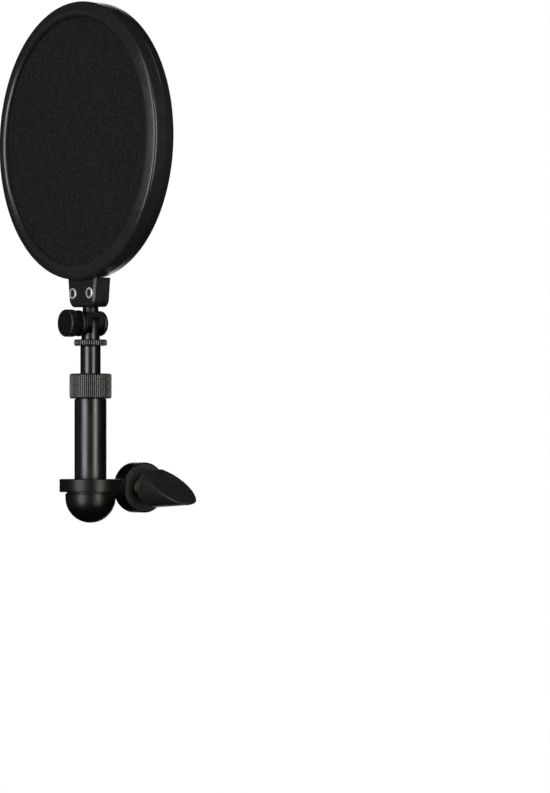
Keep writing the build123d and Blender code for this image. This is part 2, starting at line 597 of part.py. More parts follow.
KNOB_BASE = LUG_GAP + WASHER_THICK + GAP
turn_y, turn_z = -sin(radians(KNOB_TURN)), cos(radians(KNOB_TURN))
slope_x, slope_up = sin(radians(CUT_SLOPE)), cos(radians(CUT_SLOPE))
thumb_face = Plane(
    origin=(CUT_START, KNOB_R * turn_y, KNOB_R * turn_z),
    x_dir=(0, turn_z, -turn_y),
    z_dir=(slope_x, slope_up * turn_y, slope_up * turn_z),
)
with BuildPart() as clamp_knob:
    with BuildSketch(Plane.XY):
        with BuildLine():
            Polyline(
                (KNOB_BASE, STUD_THREAD_R + SNUG), (KNOB_BASE, KNOB_BASE_R),
                (KNOB_BASE + KNOB_BASE_LENGTH, KNOB_BASE_R),
                (KNOB_BASE + KNOB_BASE_LENGTH + KNOB_STEP, KNOB_R), (KNOB_TIP - KNOB_EDGE, KNOB_TIP_R),
                (KNOB_TIP - KNOB_EDGE_MIDDLE, KNOB_TIP_R - KNOB_EDGE_MIDDLE),
                (KNOB_TIP, KNOB_TIP_R - KNOB_EDGE), (KNOB_TIP, 0),
                (STUD_END + SNUG, 0), (STUD_END + SNUG, STUD_THREAD_R + SNUG), close=True,
            )
        make_face()
    revolve(axis=Axis.X)
    with BuildSketch(thumb_face):
        Rectangle(2 * WIDE, 2 * WIDE)
    extrude(amount=WIDE, mode=Mode.SUBTRACT)
clamp_knob.part.label = "clamp_knob"
export_step(clamp_knob.part, "parts/clamp_knob.step")
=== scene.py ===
# %% [markdown]
# # A pop filter on a telescopic post
#
# A pop filter stands between a singer and a microphone. Two layers of fine nylon
# mesh in a round plastic rim break up the bursts of air from a spoken "p". The rim
# hangs on a tilting, swivelling head, the head on a sliding tube, and the whole on a
# short arm that a thumb knob clamps to a lug. This lesson gives each of its pieces a
# shape that catches the light as the real one does, and a finish of its own.
#
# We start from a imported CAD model. It fixes every size and every moving body, so the
# first cell loads it and notes the box that the finished model has to stay inside.

import json
import math

import bmesh
import bpy
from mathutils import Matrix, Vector

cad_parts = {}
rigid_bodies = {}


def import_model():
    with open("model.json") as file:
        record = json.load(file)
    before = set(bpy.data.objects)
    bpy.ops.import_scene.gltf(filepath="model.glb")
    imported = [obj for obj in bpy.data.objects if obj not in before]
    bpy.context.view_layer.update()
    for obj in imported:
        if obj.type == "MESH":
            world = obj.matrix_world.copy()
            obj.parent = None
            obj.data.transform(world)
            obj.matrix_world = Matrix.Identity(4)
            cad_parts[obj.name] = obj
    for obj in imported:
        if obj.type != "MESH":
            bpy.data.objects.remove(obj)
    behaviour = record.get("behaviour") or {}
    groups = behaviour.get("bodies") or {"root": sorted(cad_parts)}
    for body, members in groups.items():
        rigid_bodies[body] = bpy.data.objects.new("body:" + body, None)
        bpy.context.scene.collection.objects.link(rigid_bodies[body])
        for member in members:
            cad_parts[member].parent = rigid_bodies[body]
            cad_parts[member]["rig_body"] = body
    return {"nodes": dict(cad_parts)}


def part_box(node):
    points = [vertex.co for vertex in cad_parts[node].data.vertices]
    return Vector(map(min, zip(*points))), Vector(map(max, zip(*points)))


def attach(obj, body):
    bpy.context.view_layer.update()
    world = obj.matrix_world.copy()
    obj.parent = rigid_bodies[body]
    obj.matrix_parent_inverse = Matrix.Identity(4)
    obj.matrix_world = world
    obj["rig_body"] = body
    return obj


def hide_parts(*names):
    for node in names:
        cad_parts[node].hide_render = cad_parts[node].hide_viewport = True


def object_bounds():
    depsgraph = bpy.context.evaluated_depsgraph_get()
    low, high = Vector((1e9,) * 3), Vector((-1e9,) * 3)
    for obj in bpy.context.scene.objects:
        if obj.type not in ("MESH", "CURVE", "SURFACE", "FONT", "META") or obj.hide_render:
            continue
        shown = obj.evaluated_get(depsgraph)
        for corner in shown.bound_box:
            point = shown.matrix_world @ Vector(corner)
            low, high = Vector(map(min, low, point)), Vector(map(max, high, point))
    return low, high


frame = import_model()
cad_low, cad_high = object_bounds()
MM = 0.001
print("CAD box, mm:", [round(side / MM, 1) for side in cad_high - cad_low])

# %% [markdown]
# ## Reading sizes from the frame
#
# Nearly everything here is round, so it was made on a lathe or moulded in a turned
# tool. For such a piece we need three facts: its axis, its radius and where it starts
# and ends. Reading them from the CAD box of its node keeps the two models in step,
# where typed numbers could drift apart.


# %% Measure a round piece
def span(node, axis):
    """A round node's centre across its axis, its radius, and its start and end along it."""
    low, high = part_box(node)
    along = "XYZ".index(axis)
    centre = (low + high) / 2
    centre[along] = 0.0
    radius = max(high[i] - low[i] for i in range(3) if i != along) / 2
    return centre, radius, low[along], high[along]


post, tube_radius, tube_foot, tube_top = span("outer_tube", "Z")
hinge, *_ = span("pressure_disc", "Y")
screen, mesh_radius, *_ = span("front_mesh", "Y")
print("post at", [round(c / MM, 1) for c in post], "hinge height", round(hinge.z / MM, 1))
print("screen centre height", round(screen.z / MM, 1), "mesh radius", round(mesh_radius / MM, 1))

# %% [markdown]
# ## Drawing a turned section
#
# A lathe needs the outline of half a slice through the piece. Real edges are never
# knife sharp: a turned edge is broken with a file and a moulded one has a small
# radius, and that little curve is what draws a bright line along the edge. So one
# helper rounds an outline's corners, and another bows a straight side into an arc.


# %% Outline helpers
def rounded(corners, radius, steps=4):
    """The closed outline through these corners, each rounded as far as its sides allow."""
    outline = []
    for i, corner in enumerate(corners):
        here = Vector(corner)
        if here.x < 1e-9:
            outline.append(here)
            continue
        back = Vector(corners[i - 1]) - here
        ahead = Vector(corners[(i + 1) % len(corners)]) - here
        reach = min(radius, back.length * 0.45, ahead.length * 0.45)
        start, end = here + back.normalized() * reach, here + ahead.normalized() * reach
        for step in range(steps + 1):
            t = step / steps
            outline.append((1 - t) ** 2 * start + 2 * t * (1 - t) * here + t * t * end)
    return outline


def bowed(start, end, bulge, steps=10):
    """Points from start up to end on a shallow curve that stands out by bulge to its left."""
    start, end = Vector(start), Vector(end)
    chord = end - start
    out = Vector((-chord.y, chord.x)).normalized() * bulge
    places = [step / steps for step in range(steps)]
    return [start + chord * t + out * (4 * t * (1 - t)) for t in places]


# %% [markdown]
# ## Turning a piece
#
# The spin helper carries the outline round an axis and closes the skin. Its `cut`
# argument is the second tool on the lathe: it may change the radius by angle and
# height, which gives ribs, hexagon sockets and screw threads as real geometry instead
# of a painted pattern. The mesh is shaded smooth, with creases only where two faces
# meet at more than 35 degrees.

# %% Spin and finish a mesh
CREASE = math.radians(35)


def spin(bm, outline, axis, centre, steps=128, cut=None):
    """Adds the solid made by turning a closed outline of (radius, along) points."""
    along = "XYZ".index(axis)
    side, up = (along + 1) % 3, (along + 2) % 3
    rings = []
    for radius, place in outline:
        middle = Vector(centre)
        middle[along] = place
        if radius < 1e-9:
            rings.append([bm.verts.new(middle)] * steps)
            continue
        ring = []
        for step in range(steps):
            turn = math.tau * step / steps
            reach = cut(turn, radius, place) if cut else radius
            point = middle.copy()
            point[side] += reach * math.cos(turn)
            point[up] += reach * math.sin(turn)
            ring.append(bm.verts.new(point))
        rings.append(ring)
    for i, ring in enumerate(rings):
        after = rings[(i + 1) % len(rings)]
        for step in range(steps):
            n = (step + 1) % steps
            corners = list(dict.fromkeys((ring[step], after[step], after[n], ring[n])))
            if len(corners) > 2:
                bm.faces.new(corners)


def made(name, bm):
    """An object from a bmesh, with outward normals and smooth shading."""
    bmesh.ops.recalc_face_normals(bm, faces=bm.faces)
    mesh = bpy.data.meshes.new(name)
    bm.to_mesh(mesh)
    bm.free()
    mesh.shade_smooth()
    mesh.set_sharp_from_angle(angle=CREASE)
    piece = bpy.data.objects.new(name, mesh)
    bpy.context.scene.collection.objects.link(piece)
    return piece


def turned(name, outline, axis, centre, steps=128, cut=None):
    bm = bmesh.new()
    spin(bm, outline, axis, centre, steps, cut)
    return made(name, bm)


# %% [markdown]
# Pieces that aren't round, such as the arm and the fork, keep the CAD shape. A copy
# of the CAD mesh gets a bevel modifier that rounds each hard edge over by a fraction
# of a millimetre, as tumbling or powder coat does. The last helper here hands a new
# piece to its body, hides the CAD nodes that it stands for and gives it its finish.


# %% Soften a CAD piece, and fit a piece to its body
def eased(name, node, width):
    """A copy of a CAD node with its hard edges rounded over."""
    bm = bmesh.new()
    bm.from_mesh(frame["nodes"][node].data)
    bmesh.ops.remove_doubles(bm, verts=bm.verts, dist=1e-6)
    bmesh.ops.dissolve_limit(
        bm, angle_limit=math.radians(0.5), verts=bm.verts, edges=bm.edges
    )
    piece = made(name, bm)
    bevel = piece.modifiers.new("rounded edges", "BEVEL")
    bevel.width, bevel.segments = width, 3
    bevel.limit_method, bevel.angle_limit = "ANGLE", CREASE
    bevel.harden_normals = True
    return piece


def fit(piece, finish, *nodes):
    """The piece stands for these nodes and moves with the first one's body."""
    piece.data.materials.clear()
    piece.data.materials.append(finish)
    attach(piece, frame["nodes"][nodes[0]]["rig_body"])
    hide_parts(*nodes)
    return piece


# %% [markdown]
# ## Finishes
#
# All of it is black, but no two blacks are alike. What tells them apart is how
# sharply they mirror the softboxes and how fine their grain is. So one recipe makes
# every solid finish: a noise in the piece's own space varies the tone and the
# roughness a little and raises a fine bump, and the arguments set how much. Numbers
# that are the same everywhere go straight onto the shader.


# %% The recipe for a solid finish
def new_finish(name):
    material = bpy.data.materials.new(name)
    material.use_nodes = True
    return material, material.node_tree.nodes, material.node_tree.links


CLOUD_SCALE, GLOSS_SPREAD = 90, 0.05


def surface(name, tones, rough, grain, bump, stretch=(1, 1, 1), **shader):
    """Noise of this grain per metre moves the tone and a bump, and slow clouds the gloss."""
    material, nodes, links = new_finish(name)
    principled = nodes["Principled BSDF"]
    for socket, value in shader.items():
        principled.inputs[socket.replace("_", " ")].default_value = value
    place = nodes.new("ShaderNodeTexCoord")
    scale = nodes.new("ShaderNodeMapping")
    scale.inputs["Scale"].default_value = stretch
    noise = nodes.new("ShaderNodeTexNoise")
    noise.inputs["Scale"].default_value = grain
    noise.inputs["Detail"].default_value = 5
    cloud = nodes.new("ShaderNodeTexNoise")
    cloud.inputs["Scale"].default_value = CLOUD_SCALE
    cloud.inputs["Detail"].default_value = 3
    tone = nodes.new("ShaderNodeValToRGB")
    for stop, place_on_ramp, colour in zip(tone.color_ramp.elements, (0.35, 0.65), tones):
        stop.position, stop.color = place_on_ramp, (*colour, 1)
    gloss = nodes.new("ShaderNodeMapRange")
    gloss.inputs["From Min"].default_value, gloss.inputs["From Max"].default_value = 0.3, 0.7
    gloss.inputs["To Min"].default_value = rough - GLOSS_SPREAD
    gloss.inputs["To Max"].default_value = rough + GLOSS_SPREAD
    relief = nodes.new("ShaderNodeBump")
    relief.inputs["Strength"].default_value = 1
    relief.inputs["Distance"].default_value = bump
    links.new(place.outputs["Object"], scale.inputs["Vector"])
    links.new(scale.outputs["Vector"], noise.inputs["Vector"])
    links.new(place.outputs["Object"], cloud.inputs["Vector"])
    links.new(noise.outputs["Fac"], tone.inputs["Fac"])
    links.new(cloud.outputs["Fac"], gloss.inputs["Value"])
    links.new(noise.outputs["Fac"], relief.inputs["Height"])
    links.new(tone.outputs["Color"], principled.inputs["Base Color"])
    links.new(gloss.outputs["Result"], principled.inputs["Roughness"])
    links.new(relief.outputs["Normal"], principled.inputs["Normal"])
    return material


def grey(low, high, warm=0.0):
    """Two near-neutral tones."""
    return [(level * (1 + warm), level, level * (1 - warm)) for level in (low, high)]


# %% [markdown]
# The metal first. The arm and the dome nut are powder coated, which flows into a
# satin skin with a faint orange peel. The tubes are turned, then black anodised:
# their noise is squeezed along the post into fine rings. The ribbed rings are
# anodised over cut metal and mirror a little more, so each crest shows as a line. The
# screws are satin nickel, rough enough to look evenly bright from any side.

# %% Metal finishes
powder_coat = surface(
    "satin powder coat", grey(0.001, 0.002), 0.38, 1500, 0.00001, Specular_IOR_Level=0.32
)
turned_black = surface(
    "turned black anodising", grey(0.002, 0.004, 0.02), 0.30, 260, 0.000006,
    stretch=(1, 1, 30), Specular_IOR_Level=0.6,
)
ribbed_black = surface(
    "black anodising over ribs", grey(0.006, 0.012, 0.02), 0.34, 1800, 0.00001,
    Specular_IOR_Level=0.9,
)
nickel = surface("nickel plate", grey(0.88, 0.95), 0.54, 900, 0.000002, Metallic=1.0)
bare_steel = surface("turned steel", grey(0.42, 0.52), 0.34, 1200, 0.000004, Metallic=1.0)
oxide_steel = surface("black oxide steel", grey(0.05, 0.08), 0.4, 1400, 0.000006, Metallic=0.7)
brass = surface("brass", [(0.60, 0.44, 0.20), (0.70, 0.54, 0.28)], 0.3, 900, 0.000003, Metallic=1.0)
print("metal finishes:", len(bpy.data.materials))

# %% [markdown]
# The plastics differ in their moulds. The rims come from a polished mould and are
# nearly glossy, the back one a shade darker. The clamp block and the small knobs are
# finely sparked, and the thumb knob has the coarsest grain, so that a finger grips it.

# %% Plastic finishes
rim_plastic = surface(
    "smooth black rim", grey(0.011, 0.016, 0.01), 0.27, 700, 0.000004, Specular_IOR_Level=0.5
)
back_plastic = surface(
    "smooth black back rim", grey(0.009, 0.013, 0.01), 0.32, 700, 0.000004, Specular_IOR_Level=0.5
)
block_plastic = surface(
    "sparked black plastic", grey(0.005, 0.011), 0.31, 1500, 0.00003, Specular_IOR_Level=0.6
)
knob_plastic = surface(
    "fine black plastic", grey(0.0005, 0.0012), 0.32, 1300, 0.00002, Specular_IOR_Level=0.5
)
thumb_plastic = surface(
    "grained thumb knob", grey(0.006, 0.016), 0.40, 1100, 0.00005, Specular_IOR_Level=0.55
)
nylon = surface("natural nylon", [(0.50, 0.47, 0.40), (0.60, 0.57, 0.50)], 0.5, 800, 0.00001)
print("finishes so far:", len(bpy.data.materials))

# %% [markdown]
# The mesh is a plain weave of nylon thread, a little over half a millimetre from
# thread to thread. Modelling a quarter of a million crossings would only slow things
# down, so two sine waves, one for each way of the thread, raise the weave as a bump
# and darken the spaces. A fine noise adds the speckle of uneven threads.

# %% The woven finish
THREAD_PITCH = 0.62 * MM
SLACK_START, SLACK_GAIN = 0.38, 4.5


def woven(name):
    material, nodes, links = new_finish(name)
    principled = nodes["Principled BSDF"]
    principled.inputs["Roughness"].default_value = 0.8
    principled.inputs["Specular IOR Level"].default_value = 0.2
    principled.inputs["Sheen Weight"].default_value = 0.02
    principled.inputs["Sheen Roughness"].default_value = 0.5
    place = nodes.new("ShaderNodeTexCoord")
    parts = nodes.new("ShaderNodeSeparateXYZ")
    links.new(place.outputs["Object"], parts.inputs["Vector"])

    def math_node(kind, first, second=None):
        node = nodes.new("ShaderNodeMath")
        node.operation = kind
        for socket, value in zip(node.inputs, (first, second)):
            if isinstance(value, float):
                socket.default_value = value
            elif value is not None:
                links.new(value, socket)
        return node.outputs["Value"]

    def threads(coordinate):
        wave = math_node("SINE", math_node("MULTIPLY", coordinate, math.pi / THREAD_PITCH))
        return math_node("ABSOLUTE", wave)

    height = math_node("MAXIMUM", threads(parts.outputs["X"]), threads(parts.outputs["Z"]))
    slack = nodes.new("ShaderNodeTexNoise")
    slack.inputs["Scale"].default_value = 0.7 / THREAD_PITCH
    slack.inputs["Detail"].default_value = 3
    links.new(place.outputs["Object"], slack.inputs["Vector"])
    above = math_node("SUBTRACT", slack.outputs["Fac"], SLACK_START)
    uneven = math_node("MULTIPLY", above, SLACK_GAIN)
    shade = math_node("MULTIPLY", height, uneven)
    tone = nodes.new("ShaderNodeValToRGB")
    tone.color_ramp.elements[0].position, tone.color_ramp.elements[1].position = 0.1, 1.0
    tone.color_ramp.elements[0].color = (0.001, 0.001, 0.001, 1)
    tone.color_ramp.elements[1].color = (0.013, 0.0122, 0.0126, 1)
    links.new(shade, tone.inputs["Fac"])
    relief = nodes.new("ShaderNodeBump")
    relief.inputs["Strength"].default_value = 0.6
    relief.inputs["Distance"].default_value = 0.0001
    links.new(height, relief.inputs["Height"])
    links.new(tone.outputs["Color"], principled.inputs["Base Color"])
    links.new(relief.outputs["Normal"], principled.inputs["Normal"])
    return material


mesh_cloth = woven("woven nylon mesh")
print("weave:", round(2 * mesh_radius / THREAD_PITCH), "threads across the screen")

# %% [markdown]
# ## The two rims
#
# Each rim is an injection moulded ring. The front one has a flat outer wall, a round
# shoulder, and a broad, nearly straight crown that rises to a thin lip over the mesh.
# The back one is shallower. Each is turned from its own section, with 360 steps since
# the long curve shows every flat. Depths are measured from the post's own plane, and
# both numbers of a point are in millimetres.

# %% Rims
RIM_STEPS = 360
RIM_RADIUS, LIP_RADIUS, SHELL_RADIUS = 70.0, 62.3, 67.4
SEAM_DEPTH, SEAM_EDGE = -2.7, 0.3
FRONT_SEAT, BACK_SEAT = -8.7, 1.5
FRONT_WALL_END, FRONT_SHOULDER = (RIM_RADIUS, -7.9), (69.4, -9.35)
FRONT_CREST, FRONT_LIP = (64.8, -11.1), (LIP_RADIUS, -9.7)
BACK_WALL_START, BACK_WALL_END, BACK_SHOULDER = (69.95, -2.4), (69.6, 1.2), (68.1, 2.85)
BACK_CREST, BACK_LIP = (63.9, 2.9), (LIP_RADIUS, 2.2)


def from_post(points):
    """Section points in millimetres, with depths moved from the post's plane to the frame."""
    return [(radius * MM, depth * MM + post.y) for radius, depth in points]


seam = [(SHELL_RADIUS, SEAM_DEPTH), (RIM_RADIUS - SEAM_EDGE, SEAM_DEPTH)]
front_section = (
    seam
    + [(RIM_RADIUS, SEAM_DEPTH - SEAM_EDGE)]
    + bowed(FRONT_WALL_END, FRONT_SHOULDER, 0.16)
    + bowed(FRONT_SHOULDER, FRONT_CREST, 0.06)
    + bowed(FRONT_CREST, FRONT_LIP, 0.36)
    + [FRONT_LIP, (LIP_RADIUS, FRONT_SEAT), (SHELL_RADIUS, FRONT_SEAT)]
)
back_section = (
    seam
    + [BACK_WALL_START]
    + bowed(BACK_WALL_END, BACK_SHOULDER, -0.37)
    + bowed(BACK_SHOULDER, BACK_CREST, -0.47)
    + [BACK_CREST, BACK_LIP, (LIP_RADIUS, BACK_SEAT), (SHELL_RADIUS, BACK_SEAT)]
)
front_rim = turned("front_rim_moulding", from_post(front_section), "Y", screen, RIM_STEPS)
back_rim = turned("back_rim_moulding", from_post(back_section), "Y", screen, RIM_STEPS)
fit(front_rim, rim_plastic, "front_rim")
fit(back_rim, back_plastic, "back_rim")
print("rim faces:", len(front_rim.data.polygons), len(back_rim.data.polygons))

# %% [markdown]
# ## The two meshes
#
# Each mesh is a disc of cloth, stretched drum tight over a hoop and trapped behind the
# lip. It stays flat apart from a ripple of a few hundredths of a millimetre that the
# hoop leaves near the edge.

# %% Meshes
SHEET_RINGS, SHEET_STEPS = 60, 240
RIPPLES, RIPPLE_DEPTH = 34, 0.03 * MM


def stretched_mesh(name, node):
    centre, radius, start, end = span(node, "Y")
    bm = bmesh.new()
    rings = []
    for i in range(SHEET_RINGS + 1):
        share = i / SHEET_RINGS
        ring = []
        for step in range(SHEET_STEPS if i else 1):
            turn = math.tau * step / SHEET_STEPS
            ripple = RIPPLE_DEPTH * share**6 * math.sin(RIPPLES * turn)
            point = (
                centre.x + radius * share * math.cos(turn),
                (start + end) / 2 + ripple,
                centre.z + radius * share * math.sin(turn),
            )
            ring.append(bm.verts.new(point))
        rings.append(ring if i else ring * SHEET_STEPS)
    for inner, outer in zip(rings, rings[1:]):
        for step in range(SHEET_STEPS):
            n = (step + 1) % SHEET_STEPS
            bm.faces.new(list(dict.fromkeys((inner[step], outer[step], outer[n], inner[n]))))
    sheet = fit(made(name, bm), mesh_cloth, node)
    return sheet


front_mesh = stretched_mesh("front_mesh_cloth", "front_mesh")
back_mesh = stretched_mesh("back_mesh_cloth", "back_mesh")
print("mesh sheets:", front_mesh.name, back_mesh.name)

# %% [markdown]
# ## The tubes
#
# The fixed tube is turned down at its top for the collar's thread. The sliding tube is
# a plain drawn tube. Their broken edges are only a few tenths of a millimetre, yet
# they are the only thing that separates a tube from a painted stripe.

# %% Tubes
TUBE_BORE, THREAD_RADIUS, SHOULDER_HEIGHT = 6.6 * MM, 7.4 * MM, 44.8 * MM
TUBE_EDGE, SLIDER_BORE = 0.25 * MM, 3.9 * MM
OUTER_CORNERS = slice(5, -1)
COLLAR_PITCH, THREAD_DEPTH = 1.0 * MM, 0.35 * MM


def thread_cut(pitch, depth, start, end):
    """A cut that winds a V thread of this pitch into whatever lies between start and end."""

    def cut(turn, radius, place):
        if not start < place < end:
            return radius
        phase = ((place - start) / pitch - turn / math.tau) % 1
        return radius - depth * abs(2 * phase - 1)

    return cut


def even_steps(start, end, radius, gap):
    """Points straight along the axis, close enough together to hold a thread."""
    count = max(2, round(abs(end - start) / gap))
    return [(radius, start + (end - start) * i / count) for i in range(count + 1)]


collar_thread = thread_cut(COLLAR_PITCH, THREAD_DEPTH, SHOULDER_HEIGHT, tube_top)


def tube_cut(turn, radius, place):
    """The collar's thread, only where the tube is turned down for it."""
    threaded = abs(radius - THREAD_RADIUS) < 1e-6
    return collar_thread(turn, radius, place) if threaded else radius


# The foot's and the shoulder's outer corners are broken, and the bore's are left sharp.
outer_wall = [(TUBE_BORE, tube_foot), (tube_radius, tube_foot), (tube_radius, SHOULDER_HEIGHT)]
outer_outline = (
    rounded(outer_wall, TUBE_EDGE)[OUTER_CORNERS]
    + even_steps(SHOULDER_HEIGHT, tube_top, THREAD_RADIUS, COLLAR_PITCH / 8)
    + [(TUBE_BORE, tube_top), (TUBE_BORE, tube_foot)]
)
fit(turned("fixed_tube", outer_outline, "Z", post, 128, tube_cut), turned_black, "outer_tube")

_, slider_radius, slider_foot, slider_top = span("inner_tube", "Z")
slider_outline = rounded(
    [(SLIDER_BORE, slider_foot), (slider_radius, slider_foot),
     (slider_radius, slider_top), (SLIDER_BORE, slider_top)],
    TUBE_EDGE,
)
fit(turned("sliding_tube", slider_outline, "Z", post), turned_black, "inner_tube")
widths = [round(2 * radius / MM, 1) for radius in (tube_radius, slider_radius)]
print("tubes:", widths, "mm across")

# %% [markdown]
# ## Ribbed rings
#
# The collar squeezes a collet round the sliding tube, and the thin ring above it locks
# the swivel. Both have straight ribs cut side by side, each with a round crest and a
# deep, narrow groove that stays dark. Ten steps to a rib are enough to hold both.

# %% Collar and lock ring
STEPS_PER_RIB = 10


def rib_cut(count, depth, inside):
    """A cut of straight grooves between round ribs, into what lies outside a radius."""

    def cut(turn, radius, place):
        if radius < inside:
            return radius
        return radius - depth * (1 - abs(math.sin(turn * count / 2))) ** 2

    return cut


_, collar_radius, collar_foot, collar_top = span("collar", "Z")
COLLAR_RIBS, RIB_DEPTH, RIB_EDGE = 63, 0.9 * MM, 0.15 * MM
FOOT_EDGE, TOP_EDGE, COLLAR_RIBBED = 0.6 * MM, 0.8 * MM, 0.75 * MM
RIBBED_RADIUS, TOP_CHAMFER = 10.6 * MM, 0.7 * MM
COLLAR_BORE, CONE_RADIUS, CONE_TIP, COLLAR_MOUTH = 7.45 * MM, 7.5 * MM, 6.05 * MM, 5.6 * MM
MOUTH_HEIGHT, CONE_HEIGHT, CONE_START, BORE_HEIGHT = 56.25 * MM, 52.2 * MM, 51.6 * MM, 51.55 * MM
collar_outline = rounded(
    [(COLLAR_BORE, collar_foot), (RIBBED_RADIUS - FOOT_EDGE, collar_foot),
     (RIBBED_RADIUS, collar_foot + FOOT_EDGE), (RIBBED_RADIUS, collar_top - TOP_CHAMFER),
     (RIBBED_RADIUS - TOP_EDGE, collar_top), (COLLAR_MOUTH, collar_top),
     (COLLAR_MOUTH, MOUTH_HEIGHT), (CONE_TIP, MOUTH_HEIGHT), (CONE_RADIUS, CONE_HEIGHT),
     (CONE_RADIUS, CONE_START), (COLLAR_BORE, BORE_HEIGHT)],
    RIB_EDGE, 3,
)
collar = turned(
    "locking_collar", collar_outline, "Z", post, COLLAR_RIBS * STEPS_PER_RIB,
    rib_cut(COLLAR_RIBS, RIB_DEPTH, collar_radius - COLLAR_RIBBED),
)
fit(collar, ribbed_black, "collar")

_, ring_radius, ring_foot, ring_top = span("lock_ring", "Z")
LOCK_RIBS, LOCK_EDGE, LOCK_BORE, LOCK_RIBBED = 42, 0.55 * MM, 3.1 * MM, 0.5 * MM
ring_outline = rounded(
    [(LOCK_BORE, ring_foot), (ring_radius - LOCK_EDGE, ring_foot),
     (ring_radius, ring_foot + LOCK_EDGE), (ring_radius, ring_top - LOCK_EDGE),
     (ring_radius - LOCK_EDGE, ring_top), (LOCK_BORE, ring_top)],
    RIB_EDGE, 3,
)
lock_ring = turned(
    "swivel_lock_ring", ring_outline, "Z", post, LOCK_RIBS * STEPS_PER_RIB,
    rib_cut(LOCK_RIBS, RIB_DEPTH, ring_radius - LOCK_RIBBED),
)
fit(lock_ring, ribbed_black, "lock_ring")
print("ribs:", COLLAR_RIBS, "on the collar and", LOCK_RIBS, "on the lock ring")

# %% [markdown]
# ## The dome nut
#
# A half ball of steel is screwed to the post's base from below and holds it to the arm.
# A thin black washer shows as a line between the ball and the arm's ring. The outline
# is a short straight side and a quarter circle, drawn from the circle's centre.

# %% Dome nut and washer
_, dome_radius, dome_low, dome_high = span("dome_nut", "Z")
DOME_HOLE_RADIUS, DOME_HOLE_END, DOME_EDGE, EDGE_START = 4.05 * MM, -12.4 * MM, 0.35 * MM, 0.1 * MM
GASKET_HOLE, GASKET_EDGE = 4.1 * MM, 0.15 * MM
ARC_STEPS = 36
dome_centre = dome_low + dome_radius
quarter = [math.pi / 2 * i / ARC_STEPS for i in range(ARC_STEPS + 1)]
dome_outline = (
    [(0.0, DOME_HOLE_END), (DOME_HOLE_RADIUS, DOME_HOLE_END), (DOME_HOLE_RADIUS, dome_high)]
    + [(dome_radius - DOME_EDGE, dome_high), (dome_radius - EDGE_START, dome_high - EDGE_START)]
    + [(dome_radius, dome_high - DOME_EDGE)]
    + [(dome_radius * math.cos(a), dome_centre - dome_radius * math.sin(a)) for a in quarter[:-1]]
    + [(0.0, dome_low)]
)
fit(turned("dome_nut_ball", dome_outline, "Z", post, 160), powder_coat, "dome_nut")

_, washer_radius, washer_low, washer_high = span("dome_washer", "Z")
washer_outline = rounded(
    [(GASKET_HOLE, washer_low), (washer_radius, washer_low),
     (washer_radius, washer_high), (GASKET_HOLE, washer_high)],
    GASKET_EDGE, 3,
)
fit(turned("dome_gasket", washer_outline, "Z", post), oxide_steel, "dome_washer")
print("dome:", round(2 * dome_radius / MM, 1), "mm across")

# %% [markdown]
# ## Pieces that aren't round
#
# The arm, the swivel stud, the fork and the two halves of the clamp block keep their
# CAD shapes with their edges rounded over. The metal pieces have narrow edges. The
# block's edges are moulded, and about twice as wide.

# %% Arm, swivel, fork and block
fit(eased("arm_casting", "arm", 0.25 * MM), powder_coat, "arm")
fit(eased("swivel_tongue", "swivel_stud", 0.25 * MM), turned_black, "swivel_stud")
fit(eased("tilt_fork", "fork", 0.3 * MM), powder_coat, "fork")
fit(eased("block_front_half", "block_front", 0.55 * MM), block_plastic, "block_front")
fit(eased("block_back_half", "block_back", 0.55 * MM), block_plastic, "block_back")
print("edges rounded on the arm, swivel, fork and block")

# %% [markdown]
# ## The tilt hinge
#
# One screw runs through the fork and the tongue. On the far side is a low cap, and on
# the near side a wavy spring washer, a steel pressure disc and the small knob that
# tightens them. The knob's head has fine ribs that only show as a broken highlight.

# %% Hinge stack
SCREW_CLEAR = 2.55 * MM


def hinge_ring(name, node, finish, edge):
    """A washer of the hinge, turned about the hinge's axis from its CAD box."""
    _, radius, front, back = span(node, "Y")
    outline = [(SCREW_CLEAR, front), (radius, front), (radius, back), (SCREW_CLEAR, back)]
    fit(turned(name, rounded(outline, edge, 4), "Y", hinge), finish, node)


hinge_ring("spring_washer_turned", "spring_washer", oxide_steel, 0.3 * MM)
hinge_ring("pressure_disc_turned", "pressure_disc", turned_black, 0.35 * MM)

_, knob_radius, knob_front, knob_back = span("tilt_knob", "Y")
KNOB_NECK, KNOB_SHOULDER, KNOB_WALL, KNOB_ROUND = 6.0 * MM, 1.85 * MM, 1.5 * MM, 0.9 * MM
TILT_RIBS, TILT_RIB_DEPTH, TILT_RIBBED, HEAD_SLOPE = 48, 0.18 * MM, 0.3 * MM, 0.6 * MM
knob_outline = rounded(
    [(0.0, knob_front), (knob_radius, knob_front),
     (knob_radius, knob_back - KNOB_SHOULDER - HEAD_SLOPE),
     (KNOB_NECK, knob_back - KNOB_SHOULDER), (KNOB_NECK, knob_back), (SCREW_CLEAR, knob_back),
     (SCREW_CLEAR, knob_front + KNOB_WALL), (0.0, knob_front + KNOB_WALL)],
    KNOB_ROUND, 6,
)
tilt_knob = turned(
    "tilt_knob_moulding", knob_outline, "Y", hinge, TILT_RIBS * STEPS_PER_RIB,
    rib_cut(TILT_RIBS, TILT_RIB_DEPTH, knob_radius - TILT_RIBBED),
)
fit(tilt_knob, knob_plastic, "tilt_knob")

